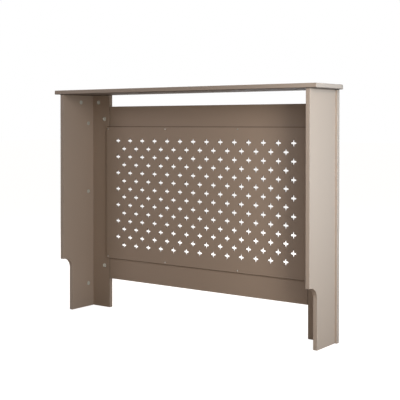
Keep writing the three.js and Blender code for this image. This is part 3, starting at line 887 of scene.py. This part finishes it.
def add_copies(name, mesh, frames, material, nodes):
    """One piece that holds every copy of a fitting that stays with the cabinet."""
    points = bpy.data.meshes.new("places")
    points.from_pydata([place.translation for place in frames], [], [])
    turn = points.attributes.new("turn", "FLOAT_VECTOR", "POINT")
    for i, place in enumerate(frames):
        turn.data[i].vector = place.to_euler("XYZ")
    places, fitting = linked(points, "places"), linked(mesh, "fitting")
    copies = grown(FITTINGS_ON_POINTS, {"Fitting": fitting, "Places": places, "Finish": material})
    bpy.data.objects.remove(places)
    bpy.data.objects.remove(fitting)
    piece(name, copies, material, CABINET, nodes)


def add_fixed_fittings():
    """The cam bolts, the dowels and the panel's screws, which all stay with the cabinet."""
    lift = shift(z=FITTING_DEPTH)
    bolt_frames = [joint.frame @ lift for joint in JOINTS]
    add_copies("cam_bolts", bolt_mesh(), bolt_frames, bright_zinc,
               [f"bolt_{joint.name}" for joint in JOINTS])
    dowel_frames = [place @ lift for joint in JOINTS for place in joint.dowel_frames()]
    dowel_nodes = sorted(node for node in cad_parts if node.startswith("dowel_"))
    add_copies("dowels", dowel_mesh(), dowel_frames, beech, dowel_nodes)
    screw_frames = []
    for i, (_, point, _) in enumerate(SCREWS):
        turn = Matrix.Rotation(FIRST_SCREW_TURN + SCREW_TURN_STEP * i, 4, "Y")
        screw_frames.append(Matrix.Translation(point) @ turn)
    add_copies("panel_screws", screw_mesh(), screw_frames, bright_zinc,
               [name for name, _, _ in SCREWS])


def add_cams():
    """One cam for each joint, on its own body so that it turns."""
    cam = cam_mesh()
    for joint in JOINTS:
        mesh = cam.copy()
        mesh.transform(joint.frame)
        node = f"cam_{joint.name}"
        piece(node, mesh, cast_zinc, node, [node])


add_shelf()
for side_name, side_sign in (("left", -1), ("right", 1)):
    add_side(side_name, side_sign)
    post_edges = (side_sign * POST_INNER, side_sign * POST_OUTER)
    add_upright_board(f"front_post_{side_name}", post_edges, (0, SHELF_UNDERSIDE))
add_upright_board("top_rail", (-POST_INNER, POST_INNER), TOP_RAIL)
add_upright_board("bottom_rail", (-POST_INNER, POST_INNER), BOTTOM_RAIL)
add_panel()
add_fixed_fittings()
add_cams()


# ---- studio, in metres ----------------------------------------------------------------------

WHITE = (1.0, 1.0, 1.0, 1.0)
FLOOR_COLOUR = (0.33, 0.265, 0.215, 1.0)
FLOOR_LIFT = 0.97
FLOOR_HALF, FLOOR_DROP = 30.0, 0.0005
WORLD_COLOUR = (1.15, 1.0, 0.82, 1.0)
WORLD_LIGHT = 0.1

# The photograph's camera. Its picture, focal length and axis are in pixels, its angles in degrees,
# its place in metres and its sensor in millimetres.
IMAGE_SIZE = 400
FOCAL_PIXELS = 905.48
AXIS_PIXEL = (202.78, 135.0)
CAMERA_ANGLES = (216.279, 0.654, 0.035)
CAMERA_PLACE = (-1.90919, 2.51552, 0.70293)
SENSOR_WIDTH = 36.0

COOL, WARM = (0.86, 0.99, 1.16), (1.14, 1.0, 0.86)
MIDDLE, NEAR_END, FAR_END = (0.0, 0.0, 0.45), (-0.5, 0.05, 0.5), (0.3, -0.05, 0.45)
# Each lamp: its name, place, what it points at, its width and height, its watts and its colour.
LAMPS = [
    ("end_high", (-1.15, 0.8, 1.15), NEAR_END, (0.5, 0.5), 4.3, (1.0, 1.0, 1.04)),
    ("end_rear", (-1.3, 0.7, 0.7), NEAR_END, (0.3, 1.0), 5.4, WARM),
    ("end_side", (-1.2, 0.15, 0.6), NEAR_END, (0.3, 0.9), 4.7, (0.75, 1.0, 1.26)),
    ("rear_fill", (1.6, 1.4, 1.3), FAR_END, (0.6, 0.6), 5.2, (1.12, 1.0, 1.04)),
    ("front_fill", (0.9, -2.5, 1.2), MIDDLE, (1.2, 1.2), 48.0, COOL),
    ("far_end_fill", (2.6, 0.2, 1.2), MIDDLE, (1.2, 1.2), 28.0, COOL),
    ("overhead", (0.5, -0.6, 2.6), MIDDLE, (1.2, 1.2), 33.0, COOL),
]


def background_rays(tree):
    """1 for the rays that see the background as white: from the camera, off gloss, or through glass."""
    path = tree.node("ShaderNodeLightPath").outputs
    indirect = tree.math("MAXIMUM", path["Is Glossy Ray"], path["Is Transmission Ray"])
    return tree.math("MAXIMUM", path["Is Camera Ray"], indirect)


def add_floor():
    """A floor that shows as white, keeps the cabinet's shadow and throws back a little warm light."""
    mesh = bpy.data.meshes.new("floor")
    corners = [(x * FLOOR_HALF, y * FLOOR_HALF, 0) for x, y in ((-1, -1), (1, -1), (1, 1), (-1, 1))]
    mesh.from_pydata(corners, [], [(0, 1, 2, 3)])
    floor = linked(mesh, "floor")
    floor.location.z = -FLOOR_DROP
    material = bpy.data.materials.new("studio_floor")
    material.use_nodes = True
    tree = Tree(material.node_tree)
    shader = material.node_tree.nodes["Principled BSDF"]
    shader.inputs["Roughness"].default_value = 0.9
    shader.inputs["Specular IOR Level"].default_value = 0.0
    lift = tree.math("MULTIPLY", background_rays(tree), FLOOR_LIFT)
    tree.feed(FLOOR_COLOUR, shader.inputs["Base Color"])
    tree.feed(WHITE, shader.inputs["Emission Color"])
    tree.feed(lift, shader.inputs["Emission Strength"])
    mesh.materials.append(material)


def add_world():
    """Soft light from all round, and plain white for what the camera sees past the floor."""
    world = bpy.data.worlds.new("studio")
    world.use_nodes = True
    scene.world = world
    tree = Tree(world.node_tree)
    background = world.node_tree.nodes["Background"]
    seen = background_rays(tree)
    tree.feed(tree.blended(seen, WORLD_COLOUR, WHITE), background.inputs["Color"])
    tree.feed(tree.spread(seen, 0.0, 1.0, WORLD_LIGHT, 1.0), background.inputs["Strength"])


def add_lamp(name, place, aim, size, power, colour):
    """A softbox, which the camera itself doesn't see."""
    data = bpy.data.lights.new(name, "AREA")
    data.shape = "RECTANGLE"
    data.size, data.size_y = size
    data.energy = power
    data.color = colour
    lamp = bpy.data.objects.new(name, data)
    scene.collection.objects.link(lamp)
    lamp.location = place
    lamp.rotation_euler = (Vector(aim) - Vector(place)).to_track_quat("-Z", "Y").to_euler()
    lamp.visible_camera = False


def add_camera():
    """The photograph's camera: behind the cabinet, past its left end, a little below the shelf."""
    azimuth, elevation, roll = (math.radians(angle) for angle in CAMERA_ANGLES)
    forward = -Vector((math.sin(azimuth) * math.cos(elevation), -math.cos(azimuth) * math.cos(elevation),
                       math.sin(elevation)))
    level = forward.cross(Z_AXIS).normalized()
    upright = level.cross(forward)
    right = math.cos(roll) * level + math.sin(roll) * upright
    up = math.cos(roll) * upright - math.sin(roll) * level
    data = bpy.data.cameras.new("camera")
    data.sensor_width = SENSOR_WIDTH
    data.lens = FOCAL_PIXELS / IMAGE_SIZE * SENSOR_WIDTH
    data.shift_x = (IMAGE_SIZE / 2 - AXIS_PIXEL[0]) / IMAGE_SIZE
    data.shift_y = (AXIS_PIXEL[1] - IMAGE_SIZE / 2) / IMAGE_SIZE
    data.clip_start, data.clip_end = 0.05, 100.0
    camera = bpy.data.objects.new("camera", data)
    scene.collection.objects.link(camera)
    placed = Matrix((right, up, -forward)).transposed().to_4x4()
    placed.translation = CAMERA_PLACE
    camera.matrix_world = placed
    scene.camera = camera


add_floor()
add_world()
add_camera()
for lamp_values in LAMPS:
    add_lamp(*lamp_values)
scene.view_settings.view_transform = "Standard"
